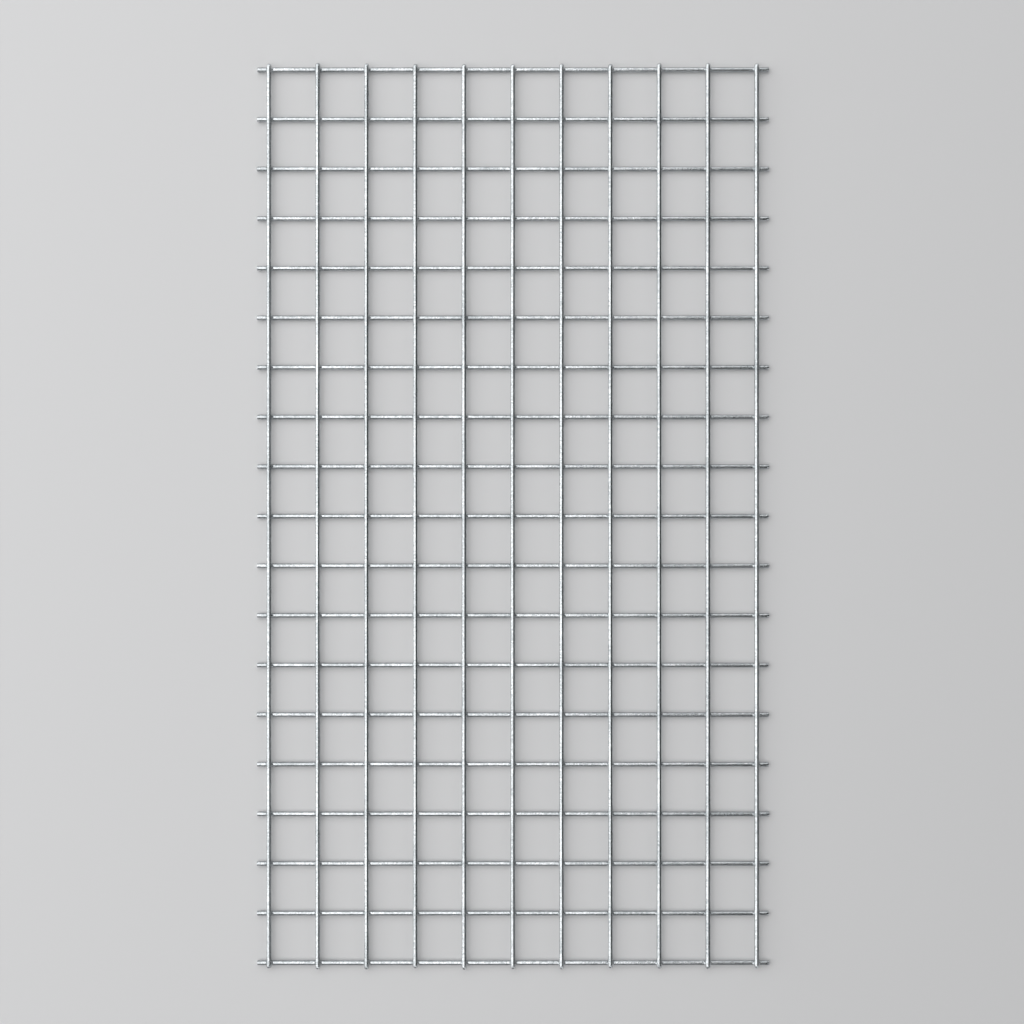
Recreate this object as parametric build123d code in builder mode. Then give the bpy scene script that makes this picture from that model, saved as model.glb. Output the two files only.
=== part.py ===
from build123d import *
import os

# A flat sheet of welded wire mesh, lying with its cross wires on the ground.
#
# Round steel wires run two ways in two layers: long line wires on top, short cross
# wires under them. Every crossing is resistance welded, which presses the two wires
# a little way into each other, so the sheet is one piece of steel. It is galvanised
# after welding, and its wires are cropped a little way past the outer welds.
#
# Frame: X along the cross wires, Y along the line wires, Z up. The origin is on the
# ground under the middle of the sheet. All sizes are in millimetres.

# the mesh
wire_diameter = 5.0
line_wire_count = 11
cross_wire_count = 19
line_wire_pitch = 50.0  # from one line wire to the next, along X
cross_wire_pitch = 51.0  # from one cross wire to the next, along Y

# how far the cropped ends stand past the outer welds
cross_wire_overhang = 13.5
line_wire_overhang = 5.5
cropped_end_bevel = 0.6  # the worn corner round each cropped end

# the weld
weld_set_down = 0.6  # how far the two wires of a crossing sink into each other

# A wire is drawn round, and is modelled with this many flats round it. A multiple of
# four puts one flat on the ground and one against the wire that it is welded to.
wire_flats = 12

# what follows from those
mesh_width = (line_wire_count - 1) * line_wire_pitch
mesh_length = (cross_wire_count - 1) * cross_wire_pitch
cross_wire_length = mesh_width + 2 * cross_wire_overhang
line_wire_length = mesh_length + 2 * line_wire_overhang
cross_wire_height = wire_diameter / 2
line_wire_height = cross_wire_height + wire_diameter - weld_set_down


def wire_section():
    """The section of one wire, with a flat at its foot."""
    RegularPolygon(
        radius=wire_diameter / 2,
        side_count=wire_flats,
        major_radius=False,
        rotation=180 / wire_flats,
    )


with BuildPart() as wire_mesh:
    # the lower layer: cross wires, side by side along Y
    with BuildSketch(Plane.YZ):
        with Locations((0, cross_wire_height)):
            with GridLocations(cross_wire_pitch, 0, cross_wire_count, 1):
                wire_section()
    extrude(amount=cross_wire_length / 2, both=True)

    # the upper layer: line wires, side by side along X, set down into the lower layer
    with BuildSketch(Plane.XZ):
        with Locations((0, line_wire_height)):
            with GridLocations(line_wire_pitch, 0, line_wire_count, 1):
                wire_section()
    extrude(amount=line_wire_length / 2, both=True)

    # the cropped ends on all four sides lose their sharp corner
    cropped_ends = ShapeList(
        end
        for along in (Axis.X, Axis.Y)
        for side in (0, -1)
        for end in wire_mesh.faces().group_by(along)[side]
    )
    chamfer(cropped_ends.edges(), length=cropped_end_bevel)

wire_mesh.part.label = "wire_mesh"

os.makedirs("parts", exist_ok=True)
export_step(wire_mesh.part, "parts/wire_mesh.step")

print(f"sheet {cross_wire_length} by {line_wire_length} mm")
print(f"welds {line_wire_count * cross_wire_count}")
print(f"solids {len(wire_mesh.solids())}")
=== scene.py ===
# Looks of a welded wire mesh panel: round galvanised wires in two layers, and the zinc
# that fills the corners where they are welded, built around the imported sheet.
import math

import bpy
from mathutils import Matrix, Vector


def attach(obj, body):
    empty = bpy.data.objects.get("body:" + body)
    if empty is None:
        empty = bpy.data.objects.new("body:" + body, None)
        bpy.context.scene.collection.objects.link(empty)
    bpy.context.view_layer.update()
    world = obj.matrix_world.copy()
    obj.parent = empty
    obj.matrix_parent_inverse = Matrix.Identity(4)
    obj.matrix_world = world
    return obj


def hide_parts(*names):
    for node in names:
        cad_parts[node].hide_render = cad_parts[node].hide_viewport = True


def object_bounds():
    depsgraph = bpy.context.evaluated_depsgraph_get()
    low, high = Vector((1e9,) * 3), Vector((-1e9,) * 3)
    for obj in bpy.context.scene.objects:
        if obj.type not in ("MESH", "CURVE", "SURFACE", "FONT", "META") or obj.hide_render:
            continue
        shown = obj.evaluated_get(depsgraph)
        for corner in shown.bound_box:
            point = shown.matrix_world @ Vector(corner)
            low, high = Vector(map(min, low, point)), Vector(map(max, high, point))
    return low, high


mm = 0.001


# How nodes are written

class Value:
    # one socket of a node tree; sums with it add Math nodes
    def __init__(self, graph, socket):
        self.graph = graph
        self.socket = socket

    def __add__(self, other):
        return self.graph.maths("ADD", self, other)

    def __sub__(self, other):
        return self.graph.maths("SUBTRACT", self, other)

    def __rsub__(self, other):
        return self.graph.maths("SUBTRACT", other, self)

    def __mul__(self, other):
        return self.graph.maths("MULTIPLY", self, other)

    def __truediv__(self, other):
        return self.graph.maths("DIVIDE", self, other)

    def __rtruediv__(self, other):
        return self.graph.maths("DIVIDE", other, self)

    __radd__ = __add__
    __rmul__ = __mul__

    def output(self, name):
        return Value(self.graph, self.socket.node.outputs[name])

    def split(self):
        x = self.graph.add("ShaderNodeSeparateXYZ", {}, {0: self})
        return x, x.output("Y"), x.output("Z")


class Graph:
    # a node tree, filled by calls
    def __init__(self, tree):
        self.tree = tree

    def add(self, kind, settings={}, sockets={}, out=0):
        node = self.tree.nodes.new(kind)
        for name, value in settings.items():
            setattr(node, name, value)
        for key, value in sockets.items():
            if isinstance(value, Value):
                self.tree.links.new(value.socket, node.inputs[key])
            else:
                node.inputs[key].default_value = value
        if len(node.outputs):
            return Value(self, node.outputs[out])

    def maths(self, operation, *values):
        return self.add("ShaderNodeMath", {"operation": operation}, dict(enumerate(values)))

    def root(self, value):
        return self.maths("SQRT", self.maths("MAXIMUM", value, 0.0))

    def join(self, x, y, z):
        return self.add("ShaderNodeCombineXYZ", {}, {0: x, 1: y, 2: z})

    def eased(self, value, start, end):
        # 0 at start, 1 at end, smooth between
        sockets = {"Value": value, "From Min": start, "From Max": end}
        return self.add("ShaderNodeMapRange", {"interpolation_type": "SMOOTHSTEP"}, sockets)

    def noise(self, vector, scale, detail=2.0, roughness=0.5):
        sockets = {"Vector": vector, "Scale": scale, "Detail": detail, "Roughness": roughness}
        return self.add("ShaderNodeTexNoise", {}, sockets)

    def blend(self, factor, first, second):
        sockets = {0: factor, 6: first, 7: second}
        return self.add("ShaderNodeMix", {"data_type": "RGBA"}, sockets, out=2)


# The sheet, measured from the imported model

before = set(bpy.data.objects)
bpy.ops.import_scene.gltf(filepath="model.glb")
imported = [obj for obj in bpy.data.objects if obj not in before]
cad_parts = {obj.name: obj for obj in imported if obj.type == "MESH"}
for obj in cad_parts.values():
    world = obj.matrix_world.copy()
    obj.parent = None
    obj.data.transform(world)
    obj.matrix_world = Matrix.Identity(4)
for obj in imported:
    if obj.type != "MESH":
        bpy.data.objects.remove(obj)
cadLow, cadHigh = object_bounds()

sheet = {
    "lineWires": 11,  # the long ones, on top
    "crossWires": 19,  # the short ones, on the floor
    "wireDiameter": 5.0 * mm,
    "crossOverhang": 13.5 * mm,  # past the outer line wires
    "lineOverhang": 5.5 * mm,  # past the outer cross wires
}

sheetSize = cadHigh - cadLow
wireRadius = sheet["wireDiameter"] / 2
linePitch = (sheetSize.x - 2 * sheet["crossOverhang"]) / (sheet["lineWires"] - 1)
crossPitch = (sheetSize.y - 2 * sheet["lineOverhang"]) / (sheet["crossWires"] - 1)
crossHeight = cadLow.z + wireRadius
lineHeight = cadHigh.z - wireRadius
print("sheet measured,", round(linePitch / mm, 2), "by", round(crossPitch / mm, 2), "mm mesh")


# Zinc, the one finish of the sheet

zinc = {
    "bright": (0.7, 0.725, 0.74, 1.0),
    "dull": (0.345, 0.372, 0.386, 1.0),
    "grainSize": 1.3 * mm,
    "finer": 2.7,  # how many times smaller the fine grain is
    "crystalSize": 1.7 * mm,
    "cloudSize": 45.0 * mm,
    "colourShares": {"grain": 0.48, "crystal": 0.14, "cloud": 0.38},
    "dullBelow": 0.3,  # the shares add up to 0 to 1, and the colour turns between these two
    "brightAbove": 0.7,
    "metallic": 0.96,
    "roughness": 0.21,
    "roughnessSpread": 0.16,  # from the brightest zinc to the dullest
    "bumpShares": {"grain": 0.67, "fineGrain": 0.26, "crystal": 0.07},
    "bumpHeight": 0.1 * mm,
    "weldPaintedShade": 0.12,  # painted shade: how much darker and duller the zinc is painted round a weld, where the wires meet
    "weldReach": 5.0 * mm,
}


def zincFinish():
    material = bpy.data.materials.new("galvanisedZinc")
    material.use_nodes = True
    graph = Graph(material.node_tree)
    graph.tree.nodes.clear()
    place = graph.add("ShaderNodeTexCoord").output("Object")
    x, y, z = place.split()

    # grain, crystals and clouds
    grain = graph.noise(place, 1 / zinc["grainSize"], detail=3.0, roughness=0.6)
    fineGrain = graph.noise(place, zinc["finer"] / zinc["grainSize"])
    crystal = graph.add(
        "ShaderNodeTexVoronoi", {}, {"Vector": place, "Scale": 1 / zinc["crystalSize"]}
    )
    tone = crystal.output("Color").split()[0]  # one for each crystal
    cloud = graph.noise(place, 1 / zinc["cloudSize"], detail=3.0)

    # how near the closest weld is, for the painted shade round it
    offX = x - graph.maths("ROUND", x / linePitch) * linePitch
    offY = y - graph.maths("ROUND", y / crossPitch) * crossPitch
    away = graph.root(offX * offX + offY * offY)
    paintedShadeNearWeld = 1 - graph.eased(away, 0.0, zinc["weldReach"])

    share = zinc["colourShares"]
    mixed = grain * share["grain"] + tone * share["crystal"] + cloud * share["cloud"]
    brightness = graph.eased(mixed, zinc["dullBelow"], zinc["brightAbove"])
    # painted shade: the zinc is made darker and duller near each weld, on top of its random tone
    dullnessAndPaintedShade = graph.maths("MINIMUM", (1 - brightness) + paintedShadeNearWeld * zinc["weldPaintedShade"], 1.0)
    colour = graph.blend(dullnessAndPaintedShade, zinc["bright"], zinc["dull"])
    roughness = zinc["roughness"] + (dullnessAndPaintedShade - 0.5) * zinc["roughnessSpread"]
    share = zinc["bumpShares"]
    height = grain * share["grain"] + fineGrain * share["fineGrain"] + tone * share["crystal"]
    bump = graph.add(
        "ShaderNodeBump", {}, {"Height": height, "Strength": 1.0, "Distance": zinc["bumpHeight"]}
    )
    surface = graph.add(
        "ShaderNodeBsdfPrincipled",
        {},
        {
            "Base Color": colour,
            "Metallic": zinc["metallic"],
            "Roughness": roughness,
            "Normal": bump,
        },
    )
    graph.add("ShaderNodeOutputMaterial", {}, {"Surface": surface})
    return material


# Geometry Nodes trees

def newTree(name, inputs):
    # a tree with these named inputs: its Graph, and each input as a Value
    tree = bpy.data.node_groups.new(name, "GeometryNodeTree")
    tree.interface.new_socket("Geometry", in_out="OUTPUT", socket_type="NodeSocketGeometry")
    for label, kind in inputs.items():
        tree.interface.new_socket(label, in_out="INPUT", socket_type="NodeSocket" + kind)
    graph = Graph(tree)
    source = tree.nodes.new("NodeGroupInput")
    return graph, {label: Value(graph, source.outputs[label]) for label in inputs}


def noted(graph, geometry, name, value, kind="FLOAT_VECTOR"):
    # the geometry with a value noted on each point
    settings = {"data_type": kind, "domain": "POINT"}
    return graph.add(
        "GeometryNodeStoreNamedAttribute", settings, {0: geometry, "Name": name, "Value": value}
    )


def note(graph, name, kind="FLOAT_VECTOR"):
    # that value, read back
    return graph.add("GeometryNodeInputNamedAttribute", {"data_type": kind}, {"Name": name})


def tubesOn(graph, points, sides, segments):
    # a capped tube on each point, with its own unit position noted as tubePoint
    tube = graph.add(
        "GeometryNodeMeshCylinder",
        {"fill_type": "NGON"},
        {"Vertices": sides, "Side Segments": segments, "Radius": 1.0, "Depth": 2.0},
    )
    tube = noted(graph, tube, "tubePoint", graph.add("GeometryNodeInputPosition"))
    placed = graph.add("GeometryNodeInstanceOnPoints", {}, {"Points": points, "Instance": tube})
    return graph.add("GeometryNodeRealizeInstances", {}, {0: placed})


wireStep = 7.3  # from one wire's noise to the next one's, so that no two bow alike


def bowAt(graph, wire, along, bow, bowLength):
    # how far a wire stands to the side of its straight line
    wave = graph.noise(graph.join(wire * wireStep, along / bowLength, 0.0), 1.0, detail=1.0)
    return (wave - 0.5) * 2.0 * bow


def closeTree(graph, geometry, position, turn, finish):
    # moves the points, turns the whole and gives it its finish
    moved = graph.add("GeometryNodeSetPosition", {}, {0: geometry, "Position": position})
    smooth = graph.add("GeometryNodeSetShadeSmooth", {}, {0: moved})
    rotation = graph.join(0.0, 0.0, turn)
    turned = graph.add("GeometryNodeTransform", {}, {0: smooth, "Rotation": rotation})
    realized = graph.add("GeometryNodeRealizeInstances", {}, {0: turned})
    finished = graph.add("GeometryNodeSetMaterial", {}, {0: realized, "Material": finish})
    graph.add("NodeGroupOutput", {}, {0: finished})


def grow(name, tree, values):
    # runs a tree with these values and keeps what it makes as a plain mesh
    piece = bpy.data.objects.new(name, bpy.data.meshes.new(name))
    bpy.context.scene.collection.objects.link(piece)
    nodes = piece.modifiers.new("nodes", "NODES")
    nodes.node_group = tree
    for item in tree.interface.items_tree:
        if item.in_out == "INPUT":
            nodes[item.identifier] = values[item.name]
    evaluated = piece.evaluated_get(bpy.context.evaluated_depsgraph_get())
    grown = bpy.data.meshes.new_from_object(evaluated)
    piece.modifiers.clear()
    piece.data = grown
    for slot in reversed(range(len(grown.materials))):
        if not grown.materials[slot]:
            grown.materials.pop(index=slot)  # the tree leaves an empty one
    for spare in ("tubePoint", "wire", "crossing"):
        if spare in grown.attributes:
            grown.attributes.remove(grown.attributes[spare])
    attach(piece, "root")
    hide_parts("wire_mesh")
    print(name, "grown,", len(grown.polygons), "faces")


# Wires

wires = {
    "sides": 20,
    "ringsPerBay": 20,
    "tipRings": 3,
    "bow": 0.2 * mm,  # sideways
    "bowLength": 140.0 * mm,
    "relief": 0.05 * mm,  # how uneven the zinc is
    "reliefSize": 7.0 * mm,
    "electrodeFlat": 0.06 * mm,  # pressed into the outer side at each weld
    "electrodeReach": 3.4 * mm,
    "electrodeMiddle": 0.3,  # this share of the reach is pressed in fully
    "electrodeEdge": 0.6,  # the flat starts at this share of the radius, up the outer side
}


def wireLayerTree():
    graph, given = newTree("wireLayer", {
        "Wires": "Int",
        "Spacing": "Float",
        "Half Length": "Float",
        "Height": "Float",
        "Radius": "Float",
        "Weld Spacing": "Float",
        "Rings per Bay": "Float",
        "Body Rings": "Int",
        "Tip Rings": "Int",
        "Sides": "Int",
        "Tip Run": "Float",
        "Tip Round": "Float",
        "Uneven Ends": "Float",
        "Bow": "Float",
        "Bow Length": "Float",
        "Relief": "Float",
        "Relief Size": "Float",
        "Electrode Flat": "Float",
        "Electrode Reach": "Float",
        "Electrode Middle": "Float",
        "Electrode Edge": "Float",
        "Outer Side": "Float",
        "Turn": "Float",
        "Seed": "Float",
        "Finish": "Material",
    })

    # one point for each wire, and a tube on each
    middle = (given["Wires"] - 1.0) / 2.0
    points = graph.add("GeometryNodeMeshLine", {}, {"Count": given["Wires"]})
    points = noted(graph, points, "wire", graph.add("GeometryNodeInputIndex"), "FLOAT")
    ends = given["Body Rings"] + given["Tip Rings"] + 1.0
    tubes = tubesOn(graph, points, given["Sides"], ends * 2.0)
    wire = note(graph, "wire", "FLOAT")
    roundX, roundY, share = note(graph, "tubePoint").split()

    # rings: even between the welds, and gathered at the rounded tips
    ring = graph.maths("ROUND", share * ends)
    count = graph.maths("ABSOLUTE", ring)
    side = graph.maths("SIGN", ring)
    bays = graph.maths("MINIMUM", count, given["Body Rings"]) * given["Weld Spacing"]
    body = bays / given["Rings per Bay"]
    toTip = graph.maths("MINIMUM", (ends - count) / given["Tip Rings"], 1.0)
    chance = graph.add(
        "ShaderNodeTexWhiteNoise",
        {"noise_dimensions": "3D"},
        {"Vector": graph.join(wire, side, given["Seed"])},
    )
    tip = given["Half Length"] - given["Uneven Ends"] * chance - given["Tip Run"] * toTip * toTip
    inTip = graph.maths("GREATER_THAN", count, given["Body Rings"] + 0.5)
    along = side * (body + inTip * (tip - body))
    rise = 1.0 - toTip * toTip
    tipLoss = given["Tip Round"] * (1.0 - graph.root(1.0 - rise * rise))

    # zinc is uneven, and the electrodes leave a faint flat at each weld
    row = (wire - middle) * given["Spacing"]
    straightX = row + roundX * given["Radius"]
    straight = graph.join(straightX, along, given["Height"] - roundY * given["Radius"])
    uneven = graph.noise(straight, 1.0 / given["Relief Size"], detail=1.0)
    welds = along / given["Weld Spacing"]
    fromWeld = graph.maths("ABSOLUTE", welds - graph.maths("ROUND", welds)) * given["Weld Spacing"]
    middleReach = given["Electrode Reach"] * given["Electrode Middle"]
    pressed = 1.0 - graph.eased(fromWeld, middleReach, given["Electrode Reach"])
    outer = graph.eased(roundY * given["Outer Side"] * -1.0, given["Electrode Edge"], 1.0)
    flat = given["Electrode Flat"] * pressed * outer
    radius = given["Radius"] - tipLoss - given["Relief"] * uneven - flat

    bow = bowAt(graph, wire + given["Seed"], along, given["Bow"], given["Bow Length"])
    x = row + bow + roundX * radius
    position = graph.join(x, along, given["Height"] - roundY * radius)
    closeTree(graph, tubes, position, given["Turn"], given["Finish"])
    return graph.tree


def wireLayer(name, tree, finish, layer):
    step = layer["weldSpacing"] / wires["ringsPerBay"]
    shortest = layer["halfLength"] - layer["unevenEnds"] - layer["tipRun"]
    grow(name, tree, {
        "Wires": layer["count"],
        "Spacing": layer["spacing"],
        "Half Length": layer["halfLength"],
        "Height": layer["height"],
        "Radius": wireRadius,
        "Weld Spacing": layer["weldSpacing"],
        "Rings per Bay": float(wires["ringsPerBay"]),
        "Body Rings": int(shortest / step),
        "Tip Rings": wires["tipRings"],
        "Sides": wires["sides"],
        "Tip Run": layer["tipRun"],
        "Tip Round": layer["tipRound"],
        "Uneven Ends": layer["unevenEnds"],
        "Bow": wires["bow"],
        "Bow Length": wires["bowLength"],
        "Relief": wires["relief"],
        "Relief Size": wires["reliefSize"],
        "Electrode Flat": wires["electrodeFlat"],
        "Electrode Reach": wires["electrodeReach"],
        "Electrode Middle": wires["electrodeMiddle"],
        "Electrode Edge": wires["electrodeEdge"],
        "Outer Side": layer["outerSide"],
        "Turn": layer["turn"],
        "Seed": layer["seed"],
        "Finish": finish,
    })


lineLayer = {
    "count": sheet["lineWires"],
    "spacing": linePitch,
    "halfLength": sheetSize.y / 2,
    "height": lineHeight,
    "weldSpacing": crossPitch,
    "tipRun": 1.8 * mm,  # length of the rounded tip
    "tipRound": 1.7 * mm,  # how much its radius loses
    "unevenEnds": 1.6 * mm,
    "outerSide": 1.0,  # 1 for the top, -1 for the underside
    "turn": 0.0,
    "seed": 3.0,
}

crossLayer = {
    "count": sheet["crossWires"],
    "spacing": crossPitch,
    "halfLength": sheetSize.x / 2,
    "height": crossHeight,
    "weldSpacing": linePitch,
    "tipRun": 0.6 * mm,
    "tipRound": 0.6 * mm,
    "unevenEnds": 0.8 * mm,
    "outerSide": -1.0,
    "turn": math.pi / 2,
    "seed": 40.0,
}


# Zinc in the corners of the welds

corners = {
    "sides": 16,
    "steps": 4,  # from the cross wire up to the line wire
    "reach": 4.3 * mm,  # from the middle of the weld, along a wire
    "reachAcross": 2.4 * mm,  # and round it
    "throat": 3.0 * mm,  # the hollow between its edges is drawn in to here
    "throatLift": 0.25 * mm,
    "vary": 0.16,  # how much larger or smaller the zinc may be
    "lumps": 0.6,  # along one reach
    "sink": 0.07 * mm,  # its edges lie this far inside the wires
}


def weldCornerTree():
    graph, given = newTree("weldCorners", {
        "Line Wires": "Int",
        "Cross Wires": "Int",
        "Line Pitch": "Float",
        "Cross Pitch": "Float",
        "Line Height": "Float",
        "Cross Height": "Float",
        "Radius": "Float",
        "Sides": "Int",
        "Steps": "Int",
        "Reach": "Float",
        "Reach Across": "Float",
        "Throat": "Float",
        "Throat Lift": "Float",
        "Vary": "Float",
        "Lumps": "Float",
        "Sink": "Float",
        "Bow": "Float",
        "Bow Length": "Float",
        "Line Seed": "Float",
        "Cross Seed": "Float",
        "Finish": "Material",
    })

    # a ring on each crossing
    lineMiddle = (given["Line Wires"] - 1.0) / 2.0
    crossMiddle = (given["Cross Wires"] - 1.0) / 2.0
    points = graph.add("GeometryNodeMeshGrid", {}, {
        "Size X": lineMiddle * given["Line Pitch"] * 2.0,
        "Size Y": crossMiddle * given["Cross Pitch"] * 2.0,
        "Vertices X": given["Line Wires"],
        "Vertices Y": given["Cross Wires"],
    })
    points = noted(graph, points, "crossing", graph.add("GeometryNodeInputPosition"))
    rings = tubesOn(graph, points, given["Sides"], given["Steps"])
    atX, atY, level = note(graph, "crossing").split()
    cosine, sine, share = note(graph, "tubePoint").split()
    up = (share + 1.0) / 2.0  # 0 on the cross wire, 1 on the line wire

    # each corner of each weld holds a little more or less zinc
    around = graph.join(atX + cosine * given["Reach"], atY + sine * given["Reach"], level)
    lump = graph.noise(around, given["Lumps"] / given["Reach"], detail=1.0)
    size = 1.0 + (lump - 0.5) * 2.0 * given["Vary"]
    longer = (given["Reach"] - given["Reach Across"]) * size
    shorter = given["Reach Across"] * size
    lowReach = shorter + longer * cosine * cosine
    highReach = shorter + longer * sine * sine

    # lower edge on the cross wire, upper edge on the line wire, and the corner between them
    squared = given["Radius"] * given["Radius"]
    lowX = cosine * lowReach
    lowY = sine * lowReach
    lowZ = given["Cross Height"] + graph.root(squared - lowY * lowY) - given["Sink"]
    highX = cosine * highReach
    highY = sine * highReach
    highZ = given["Line Height"] - graph.root(squared - highX * highX) + given["Sink"]
    setDown = given["Radius"] * 2.0 - (given["Line Height"] - given["Cross Height"])
    lift = (setDown / 2.0 + given["Throat Lift"]) * (cosine * cosine - sine * sine)
    throatZ = (given["Line Height"] + given["Cross Height"]) / 2.0 + lift
    first = (1.0 - up) * (1.0 - up)
    second = (1.0 - up) * up * 2.0
    third = up * up
    ringX = first * lowX + second * cosine * given["Throat"] + third * highX
    ringY = first * lowY + second * sine * given["Throat"] + third * highY
    ringZ = first * lowZ + second * throatZ + third * highZ

    # the wires there bow a little to the side
    lineWire = atX / given["Line Pitch"] + lineMiddle + given["Line Seed"]
    crossWire = atY / given["Cross Pitch"] + crossMiddle + given["Cross Seed"]
    aside = bowAt(graph, lineWire, atY, given["Bow"], given["Bow Length"])
    ahead = bowAt(graph, crossWire, atX * -1.0, given["Bow"], given["Bow Length"])
    position = graph.join(atX + aside + ringX, atY + ahead + ringY, ringZ)
    closeTree(graph, rings, position, 0.0, given["Finish"])
    return graph.tree


def weldCorners(finish):
    grow("weld_corners", weldCornerTree(), {
        "Line Wires": sheet["lineWires"],
        "Cross Wires": sheet["crossWires"],
        "Line Pitch": linePitch,
        "Cross Pitch": crossPitch,
        "Line Height": lineHeight,
        "Cross Height": crossHeight,
        "Radius": wireRadius,
        "Sides": corners["sides"],
        "Steps": corners["steps"],
        "Reach": corners["reach"],
        "Reach Across": corners["reachAcross"],
        "Throat": corners["throat"],
        "Throat Lift": corners["throatLift"],
        "Vary": corners["vary"],
        "Lumps": corners["lumps"],
        "Sink": corners["sink"],
        "Bow": wires["bow"],
        "Bow Length": wires["bowLength"],
        "Line Seed": lineLayer["seed"],
        "Cross Seed": crossLayer["seed"],
        "Finish": finish,
    })


# Floor, light and camera

studio = {
    "floorColour": (0.62, 0.62, 0.625, 1.0),
    "floorRoughness": 0.9,
    "floorGloss": 0.1,
    "farColour": (0.56, 0.56, 0.565, 1.0),  # what the floor and backdrop look like further off
    "farFrom": 0.75,  # just past the corners of the picture from above
    "farFull": 2.4,
    "floorRadius": 16.0,
    "floorDrop": 0.02 * mm,  # so that it doesn't touch the wires
    "bendRadius": 2.1,  # the backdrop is a quarter of this circle
    "bendSteps": 10,
    "around": 96,  # points round the rim
    "worldColour": (0.85, 0.94, 1.0, 1.0),
    "worldStrength": 0.025,
    "wattsPerArea": 4.0,  # for each square metre of a softbox whose face shows as 1
    # middle of each softbox, where it faces, its width and length, and how bright its face is
    "softboxes": {
        "roofSoftbox": ((-3.5, 3.35, 4.0), (-3.5, 3.35, 0.0), (8.1, 13.3), 1.36),
        "leftSoftbox": ((-7.4, 1.0, 1.9), (0.0, 1.0, 1.9), (12.0, 3.8), 1.7),
        "nearFill": ((4.6, -5.5, 3.6), (0.0, 0.0, 0.0), (4.0, 4.0), 1.35),
        "farFill": ((4.6, 5.5, 3.6), (0.0, 0.0, 0.0), (4.0, 4.0), 0.95),
        "farSoftbox": ((1.5, 6.0, 4.0), (1.5, 6.0, 0.0), (1.9, 6.0), 1.3),
    },
}

camera = {
    "lens": 50.0,
    "height": 1.465,
    "across": -1.0 * mm,  # from the middle of the sheet
    "up": 4.4 * mm,
}


def stageFinish():
    # lit as any floor near the sheet, and one even colour to the eye and in the zinc further off
    material = bpy.data.materials.new("paleStage")
    material.use_nodes = True
    graph = Graph(material.node_tree)
    graph.tree.nodes.clear()
    x, y, z = graph.add("ShaderNodeTexCoord").output("Object").split()
    away = graph.eased(graph.root(x * x + y * y), studio["farFrom"], studio["farFull"])
    ray = graph.add("ShaderNodeLightPath")
    seen = ray.output("Is Camera Ray") + ray.output("Is Glossy Ray")
    seen = seen + ray.output("Is Transmission Ray")
    lit = graph.add(
        "ShaderNodeBsdfPrincipled",
        {},
        {
            "Base Color": studio["floorColour"],
            "Roughness": studio["floorRoughness"],
            "Specular IOR Level": studio["floorGloss"],
        },
    )
    even = graph.add("ShaderNodeEmission", {}, {"Color": studio["farColour"], "Strength": 1.0})
    share = graph.maths("MINIMUM", seen, 1.0) * away
    surface = graph.add("ShaderNodeMixShader", {}, {0: share, 1: lit, 2: even})
    graph.add("ShaderNodeOutputMaterial", {}, {"Surface": surface})
    return material


def makeStage():
    # a round floor that bends up into a low backdrop all round
    rings = []
    for step in range(studio["bendSteps"] + 1):
        bend = math.pi / 2 * step / studio["bendSteps"]
        reach = studio["floorRadius"] + studio["bendRadius"] * math.sin(bend)
        rings.append((reach, studio["bendRadius"] * (1 - math.cos(bend))))
    points = []
    for reach, rise in rings:
        for turn in range(studio["around"]):
            angle = math.tau * turn / studio["around"]
            height = rise - studio["floorDrop"]
            points.append((reach * math.cos(angle), reach * math.sin(angle), height))
    faces = [tuple(range(studio["around"]))]
    for ring in range(len(rings) - 1):
        inner = ring * studio["around"]
        outer = inner + studio["around"]
        for turn in range(studio["around"]):
            after = (turn + 1) % studio["around"]
            faces.append((inner + turn, outer + turn, outer + after, inner + after))
    shape = bpy.data.meshes.new("stage")
    shape.from_pydata(points, [], faces)
    shape.polygons.foreach_set("use_smooth", [True] * len(shape.polygons))
    shape.materials.append(stageFinish())
    stage = bpy.data.objects.new("stage", shape)
    bpy.context.scene.collection.objects.link(stage)


def softbox(name, place, target, size, brightness):
    light = bpy.data.lights.new(name, "AREA")
    light.shape = "RECTANGLE"
    light.size, light.size_y = size
    light.energy = brightness * studio["wattsPerArea"] * size[0] * size[1]
    holder = bpy.data.objects.new(name, light)
    holder.location = place
    holder.rotation_euler = (Vector(target) - Vector(place)).to_track_quat("-Z", "Y").to_euler()
    bpy.context.scene.collection.objects.link(holder)


def makeLight():
    for name, box in studio["softboxes"].items():
        softbox(name, *box)
    world = bpy.data.worlds.new("studioWorld")
    bpy.context.scene.world = world
    world.use_nodes = True
    background = world.node_tree.nodes["Background"]
    background.inputs["Color"].default_value = studio["worldColour"]
    background.inputs["Strength"].default_value = studio["worldStrength"]


def makeCamera():
    # looks straight down on the sheet, with the far end of the line wires at the top
    lens = bpy.data.cameras.new("camera")
    lens.lens = camera["lens"]
    holder = bpy.data.objects.new("camera", lens)
    holder.location = (camera["across"], camera["up"], camera["height"])
    bpy.context.scene.collection.objects.link(holder)
    bpy.context.scene.camera = holder
    bpy.context.scene.view_settings.view_transform = "Standard"


zincMaterial = zincFinish()
print("zinc ready")
layerTree = wireLayerTree()
wireLayer("line_wires", layerTree, zincMaterial, lineLayer)
wireLayer("cross_wires", layerTree, zincMaterial, crossLayer)
weldCorners(zincMaterial)

makeStage()
makeLight()
makeCamera()
print("studio ready")
